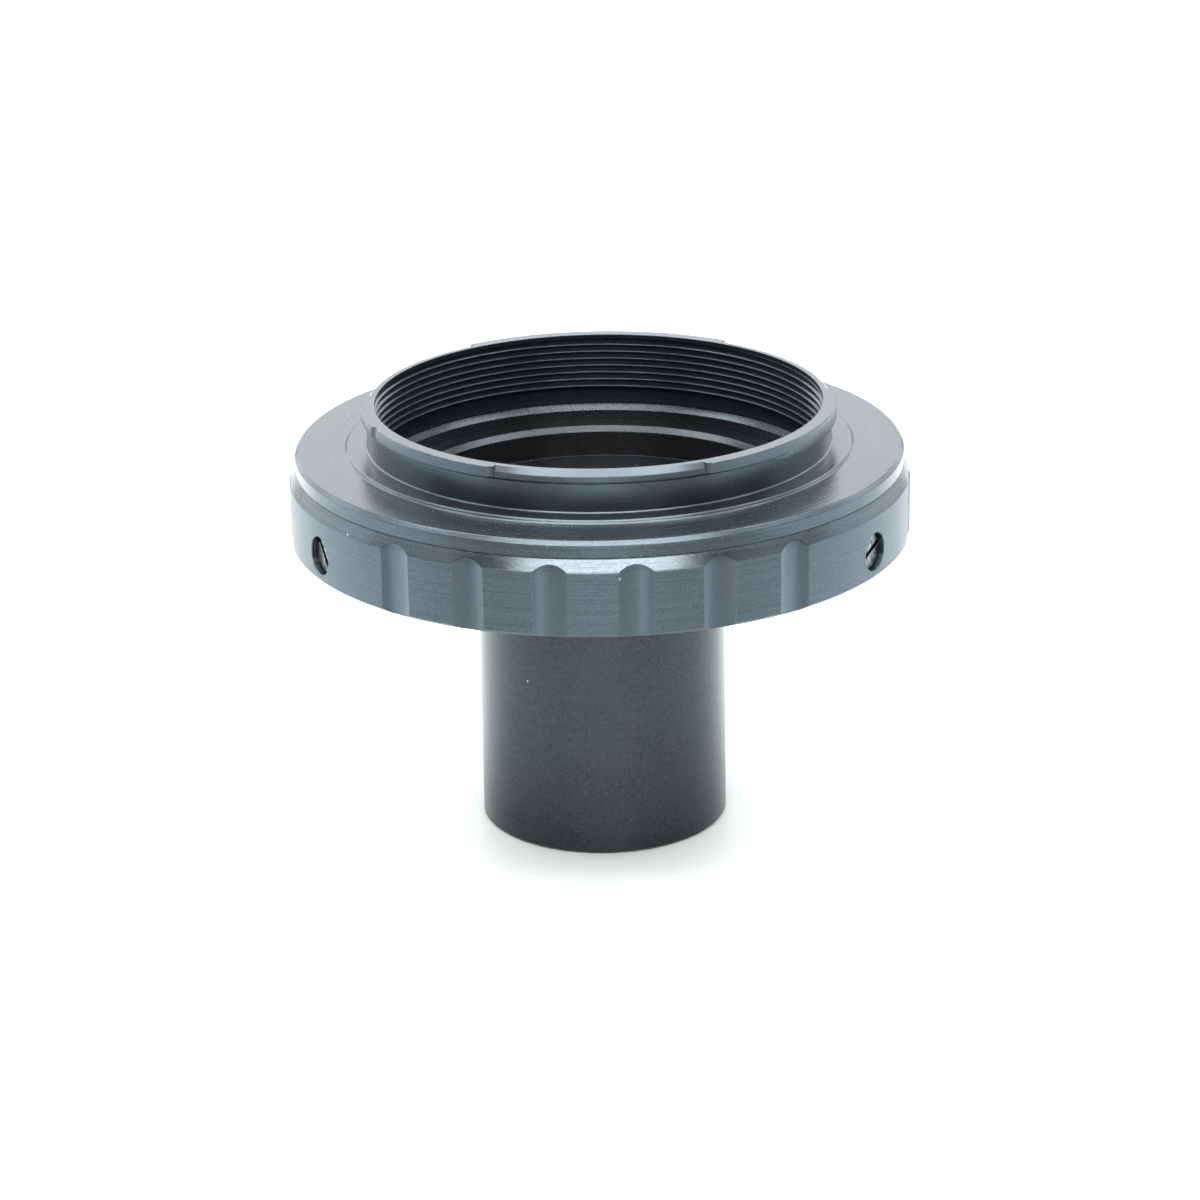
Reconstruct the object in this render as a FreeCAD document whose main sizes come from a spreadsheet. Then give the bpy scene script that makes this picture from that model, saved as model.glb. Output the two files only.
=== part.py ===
import FreeCAD, Part
import Sketcher
import os

# Camera adapter for a microscope: an eyepiece tube carries a thread ring, and a bayonet ring turns on
# the thread ring until three set screws hold it. Millimetres and degrees. The axis is +Z, the tube
# stands on z = 0, and the front is -Y.

SIZES = {
    # Eyepiece tube
    "tube_radius": 11.6,
    "tube_wall": 1.2,
    "tube_length": 26.9,
    "tube_edge": 0.3,
    "shoulder_width": 1.6,
    "shoulder_thickness": 1.3,
    "shoulder_edge": 0.3,
    "spigot_length": 4.05,
    "spigot_wall": 2.55,
    "well_floor": 2.4,
    "well_lead_in": 0.5,
    # Thread ring, and the clearance on which the bayonet ring and the screws run
    "thread_radius": 21.0,
    "thread_ring_wall": 5.0,
    "thread_ring_height": 5.5,
    "thread_lead_in": 0.55,
    "groove_depth": 0.7,
    "groove_half_width": 0.9,
    "running_clearance": 0.05,
    # Grip rim of the bayonet ring
    "grip_wall": 2.75,
    "grip_edge": 0.3,
    "grip_turn": -1.5,
    "taper_width": 0.6,
    "taper_height": 1.15,
    "band_groove": 0.1,
    "band_height": 1.2,
    "flange_edge": 0.35,
    "flange_thickness": 3.05,
    "scallop_pitch": 15.0,
    "scallop_depth": 0.36,
    "scallop_cutter_radius": 4.1,
    # Collar of the bayonet ring
    "relief_step": 0.6,
    "relief_height": 1.8,
    "lip_step": 0.31,
    "lip_height": 0.45,
    "collar_wall": 0.5,
    "boss_width": 1.95,
    "boss_height": 0.3,
    "boss_edge": 0.12,
    "boss_fillet": 0.12,
    "neck_height": 2.85,
    "neck_fillet": 0.1,
    "undercut_depth": 0.15,
    "undercut_height": 0.2,
    "lug_overhang": 0.45,
    "lug_height": 1.0,
    "lug_edge": 0.08,
    "gap_angle": 50.8,
    "gap_step": 0.15,
    "gap_bevel_width": 0.45,
    "gap_bevel_height": 0.5,
    "lug_end_depth": 0.22,
    "lug_end_cutter_radius": 1.0,
    "ramp_start": 42.0,
    "stop_start": 50.0,
    "stop_height": 0.5,
    "notch_direction": -68.0,
    "notch_depth": 0.3,
    "notch_cutter_radius": 0.8,
    # Set screws
    "screw_rise": 2.6,
    "screw_radius": 1.7,
    "screw_recess": 0.55,
    "screw_point_radius": 0.45,
    "screw_point_gap": 0.05,
    "screw_edge": 0.15,
    "hole_bevel": 0.1,
    "slot_width": 0.45,
    "slot_depth": 0.6,
    "left_slot_angle": -52.0,
    "right_slot_angle": 20.0,
    "back_slot_angle": 65.0,
}

# Lugs, groups of scallops and set screws are spread evenly round the ring
FOLDS = 3
FOLD_ANGLE = 360 / FOLDS
SCALLOPS_PER_GROUP = 6
FRONT_DIRECTION = -90

doc = FreeCAD.newDocument("adapter_ring")
sheet = doc.addObject("Spreadsheet::Sheet", "sizes")
for row, (alias, value) in enumerate(SIZES.items(), start=1):
    sheet.set(f"A{row}", alias)
    sheet.set(f"B{row}", str(value))
    sheet.setAlias(f"B{row}", alias)
doc.recompute()

# Heights that the pieces share, as sums of the sheet's values
RING_BASE = "(sizes.tube_length + sizes.shoulder_thickness)"
SPIGOT_TOP = f"({RING_BASE} + sizes.spigot_length)"
THREAD_RING_TOP = f"({RING_BASE} + sizes.thread_ring_height)"
SCREW_HEIGHT = f"({RING_BASE} + sizes.screw_rise)"
SEAT_TOP = f"({THREAD_RING_TOP} + sizes.running_clearance)"
RELIEF_TOP = f"({SEAT_TOP} + sizes.relief_height)"
FLANGE_TOP = f"({SEAT_TOP} + sizes.flange_thickness)"
BAND_TOP = f"({FLANGE_TOP} - sizes.flange_edge)"
TAPER_TOP = f"({BAND_TOP} - sizes.band_height)"
GRIP_TOP = f"({TAPER_TOP} - sizes.taper_height)"
BOSS_TOP = f"({FLANGE_TOP} + sizes.boss_height)"
LUG_BASE = f"({BOSS_TOP} + sizes.neck_height)"
COLLAR_TOP = f"({LUG_BASE} + sizes.lug_height)"

# Radii that the pieces share
SPIGOT_RADIUS = "(sizes.thread_radius - sizes.running_clearance)"
THREAD_RING_RADIUS = "(sizes.thread_radius + sizes.thread_ring_wall)"
GROOVE_FLOOR = f"({THREAD_RING_RADIUS} - sizes.groove_depth)"
SEAT_RADIUS = f"({THREAD_RING_RADIUS} + sizes.running_clearance)"
GRIP_RADIUS = f"({SEAT_RADIUS} + sizes.grip_wall)"
BAND_RADIUS = f"({GRIP_RADIUS} - sizes.taper_width)"
NECK_RADIUS = "(sizes.thread_radius + sizes.collar_wall)"
BOSS_RADIUS = f"({NECK_RADIUS} + sizes.boss_width)"
LUG_RADIUS = f"({NECK_RADIUS} + sizes.lug_overhang)"
HOLE_RADIUS = "(sizes.screw_radius + sizes.running_clearance)"

# Directions round the ring
GRIP_DIRECTION = f"({FRONT_DIRECTION} + sizes.grip_turn)"
SCREW_DIRECTION = f"({GRIP_DIRECTION} - {FOLD_ANGLE / 2})"
LUG_END = f"({FOLD_ANGLE} - sizes.gap_angle / 2)"

UPRIGHT = FreeCAD.Vector(0, 1, 0)
NORMAL = FreeCAD.Vector(0, 0, 1)
AXIAL = FreeCAD.Vector(1, 0, 0)


def new_body(label):
    body = doc.addObject("PartDesign::Body", label)
    body.Label = label
    return body


def origin_part(body, role):
    """Plane or axis of the body's own origin."""
    return next(item for item in body.Origin.OriginFeatures if item.Role == role)


def new_sketch(body, name, role, spin_axis=None, turn=None, lift=None):
    """Sketch on an origin plane, turned about one of its own axes and lifted along the ring's axis."""
    sketch = body.newObject("Sketcher::SketchObject", name)
    sketch.AttachmentSupport = [(origin_part(body, role), "")]
    sketch.MapMode = "FlatFace"
    if spin_axis is not None:
        sketch.AttachmentOffset = FreeCAD.Placement(FreeCAD.Vector(), FreeCAD.Rotation(spin_axis, 1.0))
        sketch.setExpression("AttachmentOffset.Rotation.Angle", turn)
    if lift is not None:
        along = "z" if role == "XY_Plane" else "y"
        sketch.setExpression(f"AttachmentOffset.Base.{along}", lift)
    return sketch


def add_outline(sketch, corners):
    """Closed outline of straight edges, with every corner tied to its two sizes."""
    count = len(corners)
    step = FreeCAD.Rotation(NORMAL, 360.0 / count)
    spoke = AXIAL
    points = []
    for _ in corners:
        points.append(spoke + AXIAL * 2 + UPRIGHT * 2)
        spoke = step.multVec(spoke)
    for index, point in enumerate(points):
        sketch.addGeometry(Part.LineSegment(point, points[(index + 1) % count]), False)
    for index, (across, up) in enumerate(corners):
        sketch.addConstraint(Sketcher.Constraint("Coincident", index, 2, (index + 1) % count, 1))
        point = points[index]
        for kind, start, size in (("DistanceX", point.x, across), ("DistanceY", point.y, up)):
            number = sketch.addConstraint(Sketcher.Constraint(kind, -1, 1, index, 1, start))
            sketch.setExpression(f"Constraints[{number}]", size)


def add_circle(sketch, distance, radius):
    """Circle on the sketch's own x axis."""
    index = sketch.addGeometry(Part.Circle(AXIAL, NORMAL, 1.0), False)
    sketch.addConstraint(Sketcher.Constraint("PointOnObject", index, 3, -1))
    place = sketch.addConstraint(Sketcher.Constraint("DistanceX", -1, 1, index, 3, 1.0))
    size = sketch.addConstraint(Sketcher.Constraint("Radius", index, 1.0))
    sketch.setExpression(f"Constraints[{place}]", distance)
    sketch.setExpression(f"Constraints[{size}]", radius)


def turned(body, kind, name, sketch, axis="V_Axis", angle=None):
    """Turned feature, a full turn or a stretch centred on its sketch."""
    feature = body.newObject(f"PartDesign::{kind}", name)
    feature.Profile = sketch
    feature.ReferenceAxis = (sketch, [axis])
    if angle is not None:
        feature.Midplane = True
        feature.setExpression("Angle", angle)
    doc.recompute()
    return feature


def pocket(body, name, sketch, length, upwards=False, both_ways=False):
    feature = body.newObject("PartDesign::Pocket", name)
    feature.Profile = sketch
    feature.Reversed = upwards
    feature.Midplane = both_ways
    feature.setExpression("Length", length)
    doc.recompute()
    return feature


def repeat_round(body, name, *features):
    """Copies of one or more features, one for each fold of the ring."""
    pattern = body.newObject("PartDesign::PolarPattern", name)
    pattern.Originals = list(features)
    pattern.Axis = (origin_part(body, "Z_Axis"), [""])
    pattern.Occurrences = FOLDS
    body.Tip = pattern
    doc.recompute()
    return pattern


def make_eyepiece_tube():
    """Tube for the microscope with a shoulder and a wide hollow spigot on top."""
    body = new_body("eyepiece_tube")
    section = new_sketch(body, "tube_section", "XZ_Plane")
    bore_radius = "(sizes.tube_radius - sizes.tube_wall)"
    shoulder_radius = "(sizes.thread_radius + sizes.shoulder_width)"
    well_radius = f"({SPIGOT_RADIUS} - sizes.spigot_wall)"
    floor_height = "(sizes.tube_length + sizes.well_floor)"
    add_outline(section, [
        (bore_radius, "0"),
        ("sizes.tube_radius - sizes.tube_edge", "0"),
        ("sizes.tube_radius", "sizes.tube_edge"),
        ("sizes.tube_radius", "sizes.tube_length"),
        (f"{shoulder_radius} - sizes.shoulder_edge", "sizes.tube_length"),
        (shoulder_radius, "sizes.tube_length + sizes.shoulder_edge"),
        (shoulder_radius, RING_BASE),
        (SPIGOT_RADIUS, RING_BASE),
        (SPIGOT_RADIUS, SPIGOT_TOP),
        (f"{well_radius} + sizes.well_lead_in", SPIGOT_TOP),
        (well_radius, f"{SPIGOT_TOP} - sizes.well_lead_in"),
        (well_radius, floor_height),
        (bore_radius, floor_height),
    ])
    turned(body, "Revolution", "tube_turning", section)
    return body


def make_thread_ring():
    """Ring that is screwed on the spigot, with a V groove for the points of the set screws."""
    body = new_body("thread_ring")
    section = new_sketch(body, "thread_ring_section", "XZ_Plane")
    add_outline(section, [
        ("sizes.thread_radius", RING_BASE),
        (THREAD_RING_RADIUS, RING_BASE),
        (THREAD_RING_RADIUS, f"{SCREW_HEIGHT} - sizes.groove_half_width"),
        (GROOVE_FLOOR, SCREW_HEIGHT),
        (THREAD_RING_RADIUS, f"{SCREW_HEIGHT} + sizes.groove_half_width"),
        (THREAD_RING_RADIUS, THREAD_RING_TOP),
        ("sizes.thread_radius + sizes.thread_lead_in", THREAD_RING_TOP),
        ("sizes.thread_radius", f"{THREAD_RING_TOP} - sizes.thread_lead_in"),
    ])
    turned(body, "Revolution", "thread_ring_turning", section)
    return body


def turn_ring_blank(body):
    """Turned blank of the bayonet ring: grip rim, taper, flange, boss, neck and a full lug rim."""
    lip_radius = "(sizes.thread_radius - sizes.lip_step)"
    lip_base = f"({COLLAR_TOP} - sizes.lip_height)"
    relief_radius = "(sizes.thread_radius + sizes.relief_step)"
    undercut_radius = f"({NECK_RADIUS} - sizes.undercut_depth)"
    section = new_sketch(body, "ring_section", "XZ_Plane")
    add_outline(section, [
        (SEAT_RADIUS, RING_BASE),
        (f"{GRIP_RADIUS} - sizes.grip_edge", RING_BASE),
        (GRIP_RADIUS, f"{RING_BASE} + sizes.grip_edge"),
        (GRIP_RADIUS, GRIP_TOP),
        (BAND_RADIUS, TAPER_TOP),
        (f"{BAND_RADIUS} - sizes.band_groove", TAPER_TOP),
        (BAND_RADIUS, f"{TAPER_TOP} + sizes.band_groove"),
        (BAND_RADIUS, BAND_TOP),
        (f"{BAND_RADIUS} - sizes.flange_edge", FLANGE_TOP),
        (f"{BOSS_RADIUS} + sizes.boss_fillet", FLANGE_TOP),
        (BOSS_RADIUS, f"{FLANGE_TOP} + sizes.boss_fillet"),
        (BOSS_RADIUS, f"{BOSS_TOP} - sizes.boss_edge"),
        (f"{BOSS_RADIUS} - sizes.boss_edge", BOSS_TOP),
        (f"{NECK_RADIUS} + sizes.neck_fillet", BOSS_TOP),
        (NECK_RADIUS, f"{BOSS_TOP} + sizes.neck_fillet"),
        (NECK_RADIUS, f"{LUG_BASE} - sizes.undercut_height"),
        (undercut_radius, f"{LUG_BASE} - sizes.undercut_height"),
        (undercut_radius, LUG_BASE),
        (LUG_RADIUS, LUG_BASE),
        (LUG_RADIUS, f"{COLLAR_TOP} - sizes.lug_edge"),
        (f"{LUG_RADIUS} - sizes.lug_edge", COLLAR_TOP),
        (lip_radius, COLLAR_TOP),
        (lip_radius, lip_base),
        ("sizes.thread_radius", lip_base),
        ("sizes.thread_radius", RELIEF_TOP),
        (relief_radius, RELIEF_TOP),
        (relief_radius, SEAT_TOP),
        (SEAT_RADIUS, SEAT_TOP),
    ])
    turned(body, "Revolution", "ring_turning", section)


def mill_lug_gaps(body):
    """Three stretches of the lug rim milled away, with the collar's top edge bevelled there."""
    section = new_sketch(body, "gap_section", "XZ_Plane", UPRIGHT, str(FRONT_DIRECTION))
    gap_radius = f"({NECK_RADIUS} + sizes.gap_step)"
    bevel_radius = f"({gap_radius} - sizes.gap_bevel_width)"
    outside = f"{LUG_RADIUS} + sizes.lug_edge"
    above = f"{COLLAR_TOP} + sizes.lug_edge"
    below = f"{LUG_BASE} - sizes.lug_edge"
    add_outline(section, [
        (bevel_radius, COLLAR_TOP),
        (gap_radius, f"{COLLAR_TOP} - sizes.gap_bevel_height"),
        (gap_radius, below),
        (outside, below),
        (outside, above),
        (bevel_radius, above),
    ])
    gap = turned(body, "Groove", "lug_gap", section, angle="sizes.gap_angle")
    repeat_round(body, "lug_gaps", gap)


def add_lug_stop(body):
    """Thicker stretch under one lug, with a ramp that leads up to it."""
    inside = f"{NECK_RADIUS} - sizes.collar_wall / 2"
    above = f"{LUG_BASE} + sizes.lug_edge"
    stop_face = f"{LUG_BASE} - sizes.stop_height"
    stop_corners = [
        (inside, stop_face),
        (LUG_RADIUS, stop_face),
        (LUG_RADIUS, above),
        (inside, above),
    ]
    middle = f"{FRONT_DIRECTION} + (sizes.stop_start + {LUG_END}) / 2"
    section = new_sketch(body, "stop_section", "XZ_Plane", UPRIGHT, middle)
    add_outline(section, stop_corners)
    turned(body, "Revolution", "lug_stop", section, angle=f"{LUG_END} - sizes.stop_start")
    ramp_foot = new_sketch(body, "ramp_foot", "XZ_Plane", UPRIGHT, f"{FRONT_DIRECTION} + sizes.ramp_start")
    add_outline(ramp_foot, [
        (inside, LUG_BASE),
        (LUG_RADIUS, LUG_BASE),
        (LUG_RADIUS, above),
        (inside, above),
    ])
    ramp_head = new_sketch(body, "ramp_head", "XZ_Plane", UPRIGHT, f"{FRONT_DIRECTION} + sizes.stop_start")
    add_outline(ramp_head, stop_corners)
    doc.recompute()
    ramp = body.newObject("PartDesign::AdditiveLoft", "lug_ramp")
    ramp.Profile = ramp_foot
    ramp.Sections = [ramp_head]
    ramp.Ruled = True
    doc.recompute()


def round_lug_ends(body):
    """Ends of the lugs led in to the gaps by a round cutter."""
    start = f"{LUG_BASE} - sizes.stop_height - sizes.lug_edge"
    distance = f"{LUG_RADIUS} - sizes.lug_end_depth + sizes.lug_end_cutter_radius"
    ends = []
    for name, side in (("left_lug_end", "-"), ("right_lug_end", "+")):
        direction = f"{FRONT_DIRECTION} {side} sizes.gap_angle / 2"
        sketch = new_sketch(body, f"{name}_circle", "XY_Plane", NORMAL, direction, start)
        add_circle(sketch, distance, "sizes.lug_end_cutter_radius")
        length = f"{COLLAR_TOP} - ({start}) + sizes.lug_edge"
        ends.append(pocket(body, name, sketch, length, upwards=True))
    repeat_round(body, "lug_ends", *ends)


def cut_lock_notch(body):
    """Small notch in the edge of one lug for the camera's lock."""
    direction = f"{FRONT_DIRECTION} + sizes.notch_direction"
    sketch = new_sketch(body, "notch_circle", "XY_Plane", NORMAL, direction, LUG_BASE)
    distance = f"{LUG_RADIUS} - sizes.notch_depth + sizes.notch_cutter_radius"
    add_circle(sketch, distance, "sizes.notch_cutter_radius")
    pocket(body, "lock_notch", sketch, "sizes.lug_height + sizes.lug_edge", upwards=True)


def cut_scallops(body):
    """Upright finger scallops round the grip rim, in groups between the set screws."""
    spread = f"(sizes.scallop_pitch * {SCALLOPS_PER_GROUP - 1})"
    direction = f"{GRIP_DIRECTION} - {spread} / 2"
    sketch = new_sketch(body, "scallop_circle", "XY_Plane", NORMAL, direction, RING_BASE)
    distance = f"{GRIP_RADIUS} - sizes.scallop_depth + sizes.scallop_cutter_radius"
    add_circle(sketch, distance, "sizes.scallop_cutter_radius")
    scallop = pocket(body, "scallop", sketch, f"{FLANGE_TOP} - {RING_BASE}", upwards=True)
    scallops = body.newObject("PartDesign::MultiTransform", "scallops")
    scallops.Originals = [scallop]
    in_group = body.newObject("PartDesign::PolarPattern", "scallop_group")
    in_group.Axis = (origin_part(body, "Z_Axis"), [""])
    in_group.Occurrences = SCALLOPS_PER_GROUP
    in_group.setExpression("Angle", spread)
    groups = body.newObject("PartDesign::PolarPattern", "scallop_groups")
    groups.Axis = (origin_part(body, "Z_Axis"), [""])
    groups.Occurrences = FOLDS
    scallops.Transformations = [in_group, groups]
    body.Tip = scallops
    doc.recompute()


def drill_screw_holes(body):
    """Radial holes for the set screws, bevelled at the mouth."""
    section = new_sketch(body, "hole_section", "XZ_Plane", UPRIGHT, SCREW_DIRECTION, SCREW_HEIGHT)
    outside = f"{GRIP_RADIUS} + sizes.hole_bevel"
    add_outline(section, [
        (GROOVE_FLOOR, "0"),
        (outside, "0"),
        (outside, f"{HOLE_RADIUS} + 2 * sizes.hole_bevel"),
        (f"{GRIP_RADIUS} - sizes.hole_bevel", HOLE_RADIUS),
        (GROOVE_FLOOR, HOLE_RADIUS),
    ])
    hole = turned(body, "Groove", "screw_hole", section, axis="H_Axis")
    repeat_round(body, "screw_holes", hole)


def make_bayonet_ring():
    """Camera side of the adapter, turned and milled from one piece."""
    body = new_body("bayonet_ring")
    turn_ring_blank(body)
    mill_lug_gaps(body)
    add_lug_stop(body)
    round_lug_ends(body)
    cut_lock_notch(body)
    cut_scallops(body)
    drill_screw_holes(body)
    return body


def make_set_screw(label, fold, slot_angle):
    """Slotted grub screw whose cone point stands in the V groove. Its own x axis runs outwards."""
    body = new_body(label)
    flank = "(sizes.groove_depth / sizes.groove_half_width)"
    point = f"({GROOVE_FLOOR} + sizes.screw_point_radius * {flank} + sizes.screw_point_gap)"
    cone_end = f"({point} + (sizes.screw_radius - sizes.screw_point_radius) * {flank})"
    head = f"({GRIP_RADIUS} - sizes.screw_recess)"
    section = new_sketch(body, f"{label}_section", "XZ_Plane")
    add_outline(section, [
        (point, "0"),
        (head, "0"),
        (head, "sizes.screw_radius - sizes.screw_edge"),
        (f"{head} - sizes.screw_edge", "sizes.screw_radius"),
        (cone_end, "sizes.screw_radius"),
        (point, "sizes.screw_point_radius"),
    ])
    turned(body, "Revolution", f"{label}_turning", section, axis="H_Axis")
    slot_sketch = new_sketch(body, f"{label}_slot_outline", "XZ_Plane", AXIAL, slot_angle)
    slot_floor = f"{head} - sizes.slot_depth"
    add_outline(slot_sketch, [
        (slot_floor, "-sizes.slot_width / 2"),
        (GRIP_RADIUS, "-sizes.slot_width / 2"),
        (GRIP_RADIUS, "sizes.slot_width / 2"),
        (slot_floor, "sizes.slot_width / 2"),
    ])
    pocket(body, f"{label}_slot", slot_sketch, "4 * sizes.screw_radius", both_ways=True)
    body.Placement = FreeCAD.Placement(FreeCAD.Vector(), FreeCAD.Rotation(NORMAL, 1.0))
    body.setExpression("Placement.Rotation.Angle", f"{SCREW_DIRECTION} + {fold} * {FOLD_ANGLE}")
    body.setExpression("Placement.Base.z", SCREW_HEIGHT)
    doc.recompute()
    return body


sub_parts = [
    make_eyepiece_tube(),
    make_thread_ring(),
    make_bayonet_ring(),
    make_set_screw("set_screw_left", 0, "sizes.left_slot_angle"),
    make_set_screw("set_screw_right", 1, "sizes.right_slot_angle"),
    make_set_screw("set_screw_back", 2, "sizes.back_slot_angle"),
]
doc.recompute()

for item in doc.Objects:
    if "Invalid" in item.State or "Error" in item.State:
        raise RuntimeError(f"{item.Label} failed to build")
for body in sub_parts:
    if body.Shape.isNull() or not body.Shape.isValid():
        raise RuntimeError(f"{body.Label} has no valid shape")

os.makedirs("parts", exist_ok=True)
for body in sub_parts:
    body.Shape.exportStep(f"parts/{body.Label}.step")
    box = body.Shape.BoundBox
    print(f"{body.Label}: {len(body.Shape.Solids)} solid, {body.Shape.Volume:.2f} mm3,"
          f" z {box.ZMin:.2f} to {box.ZMax:.2f}, width {box.XLength:.2f}")
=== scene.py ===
import bpy
import math
from mathutils import Euler, Matrix, Vector


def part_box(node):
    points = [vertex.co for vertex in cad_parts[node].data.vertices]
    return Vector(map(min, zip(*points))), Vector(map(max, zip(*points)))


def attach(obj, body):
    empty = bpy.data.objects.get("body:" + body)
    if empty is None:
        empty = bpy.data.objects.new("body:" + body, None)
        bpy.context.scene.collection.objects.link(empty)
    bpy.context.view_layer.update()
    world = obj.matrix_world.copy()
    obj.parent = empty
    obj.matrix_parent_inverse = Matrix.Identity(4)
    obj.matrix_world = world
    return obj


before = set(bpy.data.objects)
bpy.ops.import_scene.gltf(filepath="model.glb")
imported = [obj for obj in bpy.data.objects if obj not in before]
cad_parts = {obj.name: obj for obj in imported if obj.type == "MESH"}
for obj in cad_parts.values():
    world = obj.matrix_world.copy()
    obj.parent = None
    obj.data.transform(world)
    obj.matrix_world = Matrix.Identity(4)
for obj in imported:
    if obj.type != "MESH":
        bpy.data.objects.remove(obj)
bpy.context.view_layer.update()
mm = 0.001

# Eyepiece tube: the plain tube that slides into the microscope in place of an eyepiece. It is turned from
# aluminium bar and anodised black, and its spigot is screwed tight into the thread ring.
TUBE_DYE = "#35393d"
TUBE_ROUGHNESS = 0.30
FAINT_LINE_DEPTH = 0.004 * mm
FAINT_LINE_SHARE = 0.12
# Real tool lines lie some 0.05 mm apart, and the etched grain is finer still. Both are too fine to show,
# so they are drawn this coarse. On a flat face the lines follow the radius, spaced by FACE_CLIMB.
TOOL_LINE = 0.2 * mm
TOOL_LINE_LENGTH = 20 * mm
FACE_CLIMB = 0.62
GRAIN = 0.17 * mm
GRAIN_DEPTH = 0.002 * mm
CLOUD = 6 * mm
CLOUD_SHARE = 0.12
# The patterns' level sets the shade, from a darker to a lighter dye, and shifts the roughness a little.
# The clear part of the oxide film makes it slightly less than a full metal.
DARK_LEVEL, MEAN_LEVEL, LIGHT_LEVEL = 0.3, 0.5, 0.9
DARK_DYE, LIGHT_DYE = 0.6, 1.8
GLOSSY_LEVEL, MATT_LEVEL = 0.3, 0.7
GLOSS_SPREAD = 0.04
OXIDE_METALLIC = 0.9
# Dust: a cell whose random value is above DUST_SELDOM holds a speck. From DUST_LARGEST on, its radius is
# DUST_SHARE of the spacing.
DUST = "#8d9699"
DUST_SPACING = 2.2 * mm
DUST_SHARE = 0.07
DUST_SELDOM, DUST_LARGEST = 0.58, 0.90
WORN_EDGE = 0.1 * mm


def linear(hex_colour):
    """Linear colour of an sRGB hex value."""
    shares = [int(hex_colour[i:i + 2], 16) / 255 for i in (1, 3, 5)]
    curve = [s / 12.92 if s <= 0.04045 else ((s + 0.055) / 1.055) ** 2.4 for s in shares]
    return (*curve, 1.0)


def add_node(tree, kind, settings=None, links=None):
    """Node with its settings, and its sockets set to values or linked to other sockets."""
    node = tree.nodes.new(kind)
    for setting, value in (settings or {}).items():
        setattr(node, setting, value)
    for socket, value in (links or {}).items():
        if isinstance(value, bpy.types.NodeSocket):
            tree.links.new(value, node.inputs[socket])
        else:
            node.inputs[socket].default_value = value
    return node


def lathe_marks(tree):
    """Place on a turned piece, its radius and height, and the patterns of tool lines, grain and clouds."""
    place = add_node(tree, "ShaderNodeTexCoord").outputs["Object"]
    x, y, height = add_node(tree, "ShaderNodeSeparateXYZ", links={0: place}).outputs
    across = add_node(tree, "ShaderNodeCombineXYZ", links={0: x, 1: y})
    radius = add_node(tree, "ShaderNodeVectorMath", {"operation": "LENGTH"},
                      {0: across.outputs[0]}).outputs["Value"]
    climb = add_node(tree, "ShaderNodeMath", {"operation": "MULTIPLY_ADD"},
                     {0: radius, 1: FACE_CLIMB, 2: height})
    lathe = add_node(tree, "ShaderNodeCombineXYZ", links={0: x, 1: y, 2: climb.outputs[0]})
    stretch = add_node(tree, "ShaderNodeVectorMath", {"operation": "MULTIPLY"}, {
        0: lathe.outputs[0], 1: (1 / TOOL_LINE_LENGTH, 1 / TOOL_LINE_LENGTH, 1 / TOOL_LINE)})
    lines = add_node(tree, "ShaderNodeTexNoise", links={
        "Vector": stretch.outputs[0], "Scale": 1.0, "Detail": 3.0, "Roughness": 0.6})
    grains = add_node(tree, "ShaderNodeTexNoise", links={
        "Vector": place, "Scale": 1 / GRAIN, "Detail": 2.0, "Roughness": 0.6})
    clouds = add_node(tree, "ShaderNodeTexNoise", links={
        "Vector": place, "Scale": 1 / CLOUD, "Detail": 3.0, "Roughness": 0.55})
    return place, radius, height, lines.outputs[0], grains.outputs[0], clouds.outputs[0]


def with_dust(tree, place, colour):
    """The colour with a few pale specks of dust on it."""
    cells = add_node(tree, "ShaderNodeTexVoronoi", links={"Vector": place, "Scale": 1 / DUST_SPACING})
    reach = add_node(tree, "ShaderNodeMapRange", links={
        0: cells.outputs["Color"], 1: DUST_SELDOM, 2: DUST_LARGEST, 3: 0.0, 4: DUST_SHARE})
    speck = add_node(tree, "ShaderNodeMath", {"operation": "LESS_THAN"},
                     {0: cells.outputs["Distance"], 1: reach.outputs[0]})
    return add_node(tree, "ShaderNodeMix", {"data_type": "RGBA"},
                    {0: speck.outputs[0], 6: colour, 7: linear(DUST)}).outputs[2]


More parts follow.
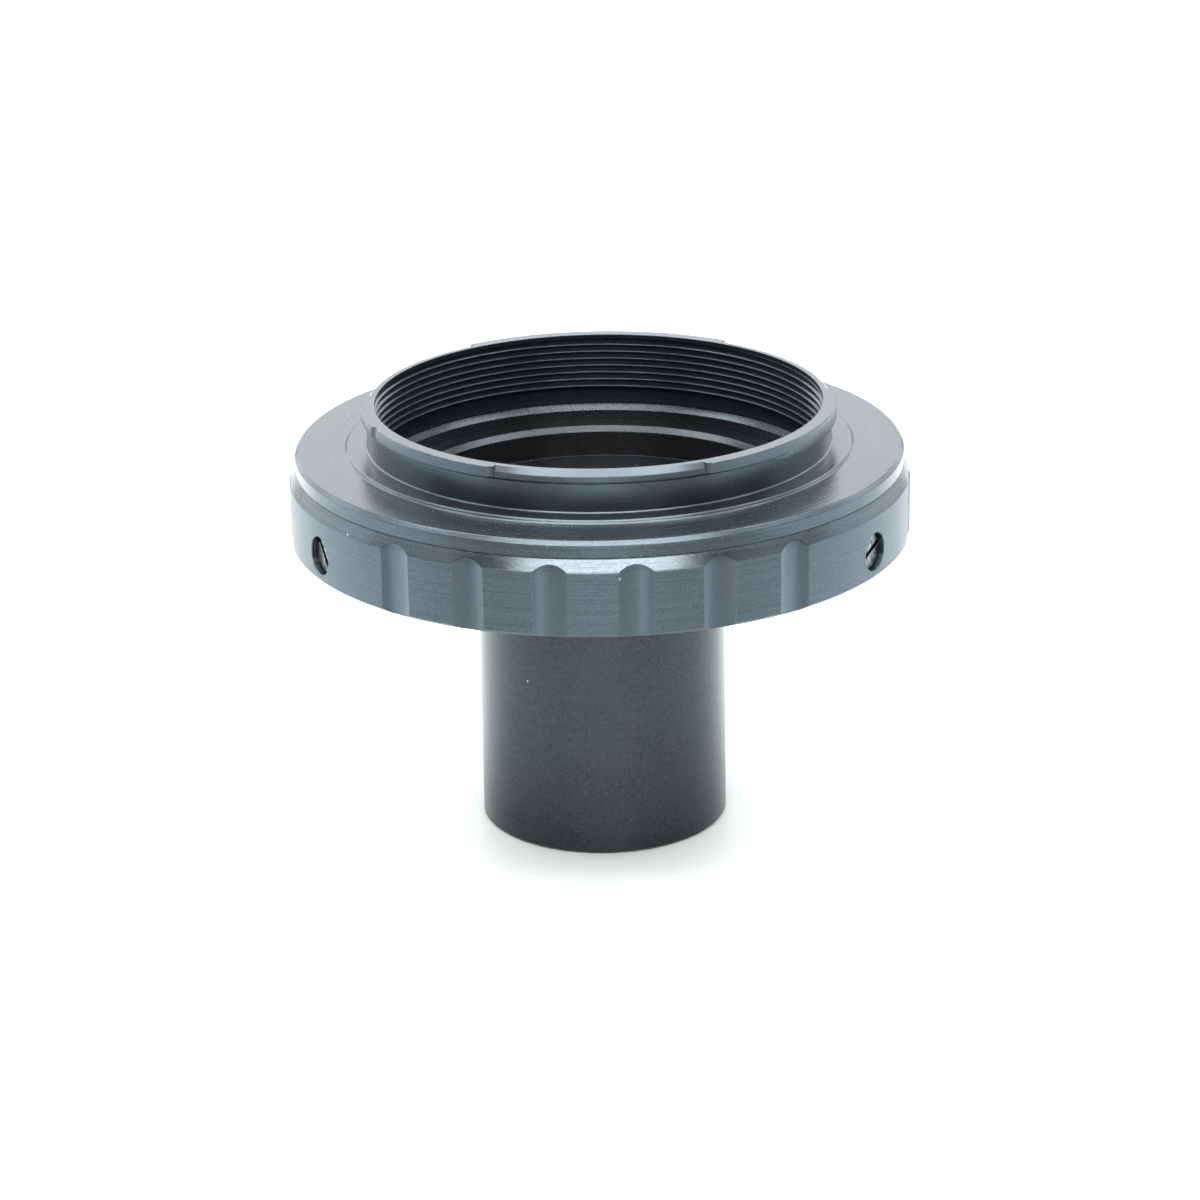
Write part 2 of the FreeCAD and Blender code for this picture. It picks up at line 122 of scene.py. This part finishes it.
def anodised_aluminium(name, dye, roughness, line_depth, line_share, zones=None):
    """Dyed oxide film on turned aluminium: a satin, dark metal that goes pale where the eye grazes it. Grain
    and the lines of the tool shade it. zones gives the finish of a piece that isn't turned all over."""
    material = bpy.data.materials.new(name)
    material.use_nodes = True
    tree = material.node_tree
    shader = tree.nodes["Principled BSDF"]
    place, radius, height, lines, grains, clouds = lathe_marks(tree)
    turned, gloss, lift, grain_share = zones(tree, radius, height) if zones else (1.0, roughness, 0.0, 1.0)
    share = add_node(tree, "ShaderNodeMapRange", links={0: turned, 3: FAINT_LINE_SHARE, 4: line_share})
    marks = add_node(tree, "ShaderNodeMix", {"data_type": "FLOAT"},
                     {0: share.outputs[0], 2: grains, 3: lines})
    shade = add_node(tree, "ShaderNodeMix", {"data_type": "FLOAT"},
                     {0: CLOUD_SHARE, 2: marks.outputs[0], 3: clouds})
    calm = add_node(tree, "ShaderNodeMix", {"data_type": "FLOAT"},
                    {0: grain_share, 2: MEAN_LEVEL, 3: shade.outputs[0]})
    lifted = add_node(tree, "ShaderNodeMath", {"operation": "ADD"}, {0: calm.outputs[0], 1: lift})
    tint = add_node(tree, "ShaderNodeValToRGB", links={0: lifted.outputs[0]})
    dark, light = tint.color_ramp.elements
    dark.position, light.position = DARK_LEVEL, LIGHT_LEVEL
    dark.color = Vector(linear(dye)) * DARK_DYE
    light.color = Vector(linear(dye)) * LIGHT_DYE
    spread = add_node(tree, "ShaderNodeMapRange", links={
        0: calm.outputs[0], 1: GLOSSY_LEVEL, 2: MATT_LEVEL, 3: -GLOSS_SPREAD, 4: GLOSS_SPREAD})
    satin = add_node(tree, "ShaderNodeMath", {"operation": "ADD"}, {0: spread.outputs[0], 1: gloss})
    edges = add_node(tree, "ShaderNodeBevel", {"samples": 4}, {"Radius": WORN_EDGE})
    grooves = add_node(tree, "ShaderNodeBump", links={
        "Height": lines, "Strength": share.outputs[0], "Distance": line_depth, "Normal": edges.outputs[0]})
    relief = add_node(tree, "ShaderNodeBump", links={
        "Height": grains, "Strength": grain_share, "Distance": GRAIN_DEPTH, "Normal": grooves.outputs[0]})
    tree.links.new(with_dust(tree, place, tint.outputs[0]), shader.inputs["Base Color"])
    tree.links.new(satin.outputs[0], shader.inputs["Roughness"])
    tree.links.new(relief.outputs[0], shader.inputs["Normal"])
    shader.inputs["Metallic"].default_value = OXIDE_METALLIC
    return material


# Black anodised aluminium with faint tool lines: smooth and near black from the front, pale at the sides.
tube_material = anodised_aluminium("black_anodised_tube", TUBE_DYE, TUBE_ROUGHNESS,
                                   FAINT_LINE_DEPTH, FAINT_LINE_SHARE)
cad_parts["eyepiece_tube"].material_slots[0].material = tube_material

# Thread ring: the inner ring that is screwed tight on the tube's spigot, turned and anodised black.
# Only its lead-in chamfer shows, deep inside the collar, as a pale band on a dark bore.
INNER_DYE = "#3c4245"
INNER_ROUGHNESS = 0.28
inner_material = anodised_aluminium("black_anodised_inner", INNER_DYE, INNER_ROUGHNESS,
                                    FAINT_LINE_DEPTH, FAINT_LINE_SHARE)
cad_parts["thread_ring"].material_slots[0].material = inner_material

# Bayonet ring: the camera side, turned and milled from one piece of aluminium and anodised dark grey.
# It sits over the thread ring, held by the set screws. Tool lines run round the grip's wall and the flange.
RING_DYE = "#475057"
RING_ROUGHNESS = 0.25
RING_LINE_DEPTH = 0.04 * mm
RING_LINE_SHARE = 0.42
RING_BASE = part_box("bayonet_ring")[0][2]
RING_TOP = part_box("bayonet_ring")[1][2]
GRIP_RADIUS = max(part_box("bayonet_ring")[1][:2])
GRIP_TOP = RING_BASE + 5.9 * mm
BOSS_RADIUS = 23.45 * mm
ZONE_BLEND = 0.1 * mm
WALL_FROM, WALL_FULL = 0.08 * mm, 0.02 * mm
WALL_ROUGHNESS = 0.40
SCALLOP_ROUGHNESS = 0.26
GRIP_LIFT = 0.08
SMOOTH_GRAIN_SHARE = 0.35


def ring_zones(tree, radius, height):
    """Share of turning, roughness, lift of the shade and share of grain: lines on the grip's wall and on the
    flange, and a smooth finish in the milled scallops and inside the boss."""
    on_wall = add_node(tree, "ShaderNodeMapRange", links={
        0: radius, 1: GRIP_RADIUS - WALL_FROM, 2: GRIP_RADIUS - WALL_FULL}).outputs[0]
    over_grip = add_node(tree, "ShaderNodeMapRange", links={
        0: height, 1: GRIP_TOP, 2: GRIP_TOP + ZONE_BLEND}).outputs[0]
    past_boss = add_node(tree, "ShaderNodeMapRange", links={
        0: radius, 1: BOSS_RADIUS, 2: BOSS_RADIUS + ZONE_BLEND}).outputs[0]
    on_flange = add_node(tree, "ShaderNodeMath", {"operation": "MULTIPLY"}, {0: over_grip, 1: past_boss})
    turned = add_node(tree, "ShaderNodeMath", {"operation": "MAXIMUM"}, {0: on_wall, 1: on_flange.outputs[0]})
    off_wall = add_node(tree, "ShaderNodeMapRange", links={
        0: over_grip, 3: SCALLOP_ROUGHNESS, 4: RING_ROUGHNESS})
    gloss = add_node(tree, "ShaderNodeMix", {"data_type": "FLOAT"},
                     {0: on_wall, 2: off_wall.outputs[0], 3: WALL_ROUGHNESS})
    lift = add_node(tree, "ShaderNodeMapRange", links={0: over_grip, 3: GRIP_LIFT, 4: 0.0})
    grain_share = add_node(tree, "ShaderNodeMapRange", links={
        0: turned.outputs[0], 3: SMOOTH_GRAIN_SHARE, 4: 1.0})
    return turned.outputs[0], gloss.outputs[0], lift.outputs[0], grain_share.outputs[0]


# Grey anodised aluminium: matt with fine rings on the turned faces, with darker, smoother scallops between.
ring_material = anodised_aluminium("grey_anodised_ring", RING_DYE, RING_ROUGHNESS,
                                   RING_LINE_DEPTH, RING_LINE_SHARE, ring_zones)
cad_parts["bayonet_ring"].material_slots[0].material = ring_material

# Collar thread: the fine inner thread that a lens or tube is screwed into, cut in the collar's wall.
# It belongs to the ring and has its finish, and one ridge winds down the wall between lip and relief.
THREAD_PITCH = 0.70 * mm
THREAD_ROOT = 21.02 * mm
THREAD_CREST = 20.64 * mm
THREAD_TOP = RING_TOP - 0.46 * mm
THREAD_FOOT = RING_BASE + 7.36 * mm
THREAD_STEPS = 144
ROOT_HALF_WIDTH = 0.27 * mm
CREST_HALF_WIDTH = 0.04 * mm
TRIM_RADIUS = 1.2 * THREAD_ROOT
TRIM_DEPTH = 4 * THREAD_PITCH
SMOOTH_BELOW = 25


def wind_ridge():
    """Closed ridge wound from a four-cornered section, a pitch longer at each end than the thread."""
    bpy.ops.object.select_all(action="DESELECT")
    bpy.ops.mesh.primitive_circle_add(vertices=4, radius=THREAD_ROOT, fill_type="NOTHING")
    ridge = bpy.context.object
    ridge.name = "collar_thread"
    start = THREAD_FOOT - THREAD_PITCH
    corners = [(THREAD_ROOT, ROOT_HALF_WIDTH), (THREAD_CREST, CREST_HALF_WIDTH),
               (THREAD_CREST, -CREST_HALF_WIDTH), (THREAD_ROOT, -ROOT_HALF_WIDTH)]
    for vertex, (reach, rise) in zip(ridge.data.vertices, corners):
        vertex.co = (reach, 0.0, start + rise)
    winding = ridge.modifiers.new("winding", "SCREW")
    winding.axis = "Z"
    winding.screw_offset = THREAD_PITCH
    winding.iterations = math.ceil((THREAD_TOP - THREAD_FOOT) / THREAD_PITCH) + 2
    winding.steps = THREAD_STEPS
    winding.render_steps = THREAD_STEPS
    bpy.ops.object.modifier_apply(modifier="winding")
    bpy.ops.object.mode_set(mode="EDIT")
    bpy.ops.mesh.select_mode(type="EDGE")
    bpy.ops.mesh.select_all(action="DESELECT")
    bpy.ops.mesh.select_non_manifold(extend=False)
    bpy.ops.mesh.fill_holes(sides=4)
    bpy.ops.mesh.select_all(action="SELECT")
    bpy.ops.mesh.normals_make_consistent(inside=False)
    bpy.ops.object.mode_set(mode="OBJECT")
    return ridge


def trim_ridge(ridge, height):
    """Cuts the ridge off flat with a disc whose middle is at the height."""
    bpy.ops.object.select_all(action="DESELECT")
    bpy.ops.mesh.primitive_cylinder_add(vertices=64, radius=TRIM_RADIUS, depth=TRIM_DEPTH,
                                        location=(0, 0, height))
    cutter = bpy.context.object
    trim = ridge.modifiers.new("trim", "BOOLEAN")
    trim.operation = "DIFFERENCE"
    trim.solver = "EXACT"
    trim.object = cutter
    bpy.context.view_layer.objects.active = ridge
    bpy.ops.object.modifier_apply(modifier="trim")
    bpy.data.objects.remove(cutter)


thread = wind_ridge()
trim_ridge(thread, THREAD_TOP + TRIM_DEPTH / 2)
trim_ridge(thread, THREAD_FOOT - TRIM_DEPTH / 2)
bpy.ops.object.select_all(action="DESELECT")
thread.select_set(True)
bpy.ops.object.shade_smooth_by_angle(angle=math.radians(SMOOTH_BELOW))
thread.data.materials.clear()
thread.data.materials.append(ring_material)
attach(thread, "bayonet")

# Set screws: three slotted grub screws in the grip rim, their cone points in the thread ring's groove.
# They are turned from steel, scratched by the screwdriver, and oil has darkened them in spots.
STEEL = "#8f9598"
STEEL_ROUGHNESS = 0.28
# Real scratches are a few hundredths of a millimetre wide, too fine to show, so they are drawn this coarse.
SCRATCH = 0.35 * mm
SCRATCH_DEPTH = 0.03 * mm
OIL_SHADE = 0.12
OILY_LEVEL, CLEAN_LEVEL = 0.42, 0.66


def turned_steel(name):
    """Turned steel: a bright metal with a broken shine, dark where oil and scratches are."""
    material = bpy.data.materials.new(name)
    material.use_nodes = True
    tree = material.node_tree
    shader = tree.nodes["Principled BSDF"]
    place = add_node(tree, "ShaderNodeTexCoord").outputs["Object"]
    scratches = add_node(tree, "ShaderNodeTexNoise", links={
        "Vector": place, "Scale": 1 / SCRATCH, "Detail": 4.0, "Roughness": 0.7})
    tint = add_node(tree, "ShaderNodeValToRGB", links={0: scratches.outputs[0]})
    dark, light = tint.color_ramp.elements
    dark.position, light.position = OILY_LEVEL, CLEAN_LEVEL
    dark.color = Vector(linear(STEEL)) * OIL_SHADE
    light.color = linear(STEEL)
    relief = add_node(tree, "ShaderNodeBump", links={
        "Height": scratches.outputs[0], "Distance": SCRATCH_DEPTH})
    tree.links.new(tint.outputs[0], shader.inputs["Base Color"])
    tree.links.new(relief.outputs[0], shader.inputs["Normal"])
    shader.inputs["Metallic"].default_value = 1.0
    shader.inputs["Roughness"].default_value = STEEL_ROUGHNESS
    return material


steel = turned_steel("bright_turned_steel")
for screw in ("set_screw_left", "set_screw_right", "set_screw_back"):
    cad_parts[screw].material_slots[0].material = steel

# Floor: a round table with a plain white top, and on it two grey cards in front of the ring, left and right.
# The cards darken what the front of the ring reflects, so that the scallops show. Only reflections see them.
FLOOR_RADIUS = 0.95
FLOOR_WHITE = "#d8e2e4"
CARD_GREY = "#a0a0a0"
PAPER_ROUGHNESS = 0.45
CARD_WIDTH = 0.10
CARD_NEAR = 0.08
CARD_FAR = 0.30
CARD_RISE = 1 * mm
CARD_AZIMUTH = math.radians(32)


def add_paper(sheet, name, colour):
    """Plain matt paper on a sheet: the floor or a card."""
    paper = bpy.data.materials.new(name)
    paper.use_nodes = True
    shader = paper.node_tree.nodes["Principled BSDF"]
    shader.inputs["Base Color"].default_value = linear(colour)
    shader.inputs["Roughness"].default_value = PAPER_ROUGHNESS
    sheet.data.materials.append(paper)


bpy.ops.object.select_all(action="DESELECT")
bpy.ops.mesh.primitive_circle_add(vertices=96, radius=FLOOR_RADIUS, fill_type="NGON")
floor = bpy.context.object
floor.name = "floor"
add_paper(floor, "white_paper", FLOOR_WHITE)
for side, azimuth in (("left", -CARD_AZIMUTH), ("right", CARD_AZIMUTH)):
    reach = (CARD_NEAR + CARD_FAR) / 2
    bpy.ops.mesh.primitive_plane_add(size=1.0, rotation=(0, 0, azimuth), location=(
        reach * math.sin(azimuth), -reach * math.cos(azimuth), CARD_RISE))
    card = bpy.context.object
    card.name = side + "_grey_card"
    card.scale = (CARD_WIDTH, CARD_FAR - CARD_NEAR, 1.0)
    card.visible_camera = False
    card.visible_diffuse = False
    card.visible_shadow = False
    add_paper(card, "grey_paper", CARD_GREY)

# Light: a long softbox in front above the camera and another overhead, smaller ones close above the back,
# cards at the sides and low panels behind. The room is white to the camera and adds only a little light.
SOFTBOXES = {
    # name: (azimuth from the front, elevation, distance, width, height, radiance, colour), aimed at the ring
    "front_softbox": (0, 36, 1.0, 1.0, 0.15, 23, "#fff8f0"),
    "top_softbox": (0, 69, 1.0, 1.1, 0.2, 12, "#fffaf4"),
    "back_softbox": (180, 76, 0.5, 0.5, 0.2, 8, "#ffffff"),
    "left_lamp": (-130, 63, 0.3, 0.25, 0.12, 9, "#ffffff"),
    "right_lamp": (130, 63, 0.3, 0.25, 0.12, 7, "#ffffff"),
    "left_card": (-90, 38, 0.4, 0.5, 0.26, 1.8, "#ffffff"),
    "right_card": (90, 38, 0.4, 0.5, 0.26, 1.6, "#ffffff"),
    "back_left_panel": (-124, 17, 1.0, 1.2, 0.6, 2.8, "#ffffff"),
    "back_right_panel": (124, 17, 1.0, 1.2, 0.6, 2.4, "#ffffff"),
    "back_panel": (180, 28, 1.0, 1.1, 0.7, 2.4, "#ffffff"),
}
AIM = Vector((0, 0, 30 * mm))
ROOM_WHITE = "#f6fcff"
ROOM_LIGHT = 0.05
ROOM_SIGHT = 1.1
for name, (azimuth, elevation, distance, width, height, radiance, colour) in SOFTBOXES.items():
    light = bpy.data.lights.new(name, "AREA")
    light.shape = "RECTANGLE"
    light.size = width
    light.size_y = height
    light.energy = math.pi * width * height * radiance
    light.color = linear(colour)[:3]
    lamp = bpy.data.objects.new(name, light)
    turn = Euler((math.radians(90 - elevation), 0, math.radians(azimuth))).to_matrix().to_4x4()
    lamp.matrix_world = Matrix.Translation(AIM) @ turn @ Matrix.Translation((0, 0, distance))
    lamp.visible_camera = False
    bpy.context.collection.objects.link(lamp)
world = bpy.data.worlds.new("white_room")
world.use_nodes = True
room = world.node_tree.nodes["Background"]
room.inputs["Color"].default_value = linear(ROOM_WHITE)
sight = add_node(world.node_tree, "ShaderNodeLightPath")
strength = add_node(world.node_tree, "ShaderNodeMapRange", links={
    0: sight.outputs["Is Camera Ray"], 3: ROOM_LIGHT, 4: ROOM_SIGHT})
world.node_tree.links.new(strength.outputs[0], room.inputs["Strength"])
bpy.context.scene.world = world
bpy.context.scene.view_settings.view_transform = "Standard"

# Camera: a long lens that looks down on the ring from the front, held a degree out of level.
CAMERA_PLACE = Vector((0, -326.62, 142.87)) * mm
CAMERA_DOWN = 20.46
CAMERA_TURN = 0.03
CAMERA_ROLL = -0.93
CAMERA_LENS = 111.02
CAMERA_SENSOR = 36.0
CAMERA_NEAR = 0.01
camera_data = bpy.data.cameras.new("camera")
camera_data.lens = CAMERA_LENS
camera_data.sensor_width = CAMERA_SENSOR
camera_data.clip_start = CAMERA_NEAR
camera = bpy.data.objects.new("camera", camera_data)
aim = Euler((math.radians(90 - CAMERA_DOWN), 0, math.radians(CAMERA_TURN))).to_matrix().to_4x4()
roll = Matrix.Rotation(math.radians(CAMERA_ROLL), 4, "Z")
camera.matrix_world = Matrix.Translation(CAMERA_PLACE) @ aim @ roll
bpy.context.collection.objects.link(camera)
bpy.context.scene.camera = camera
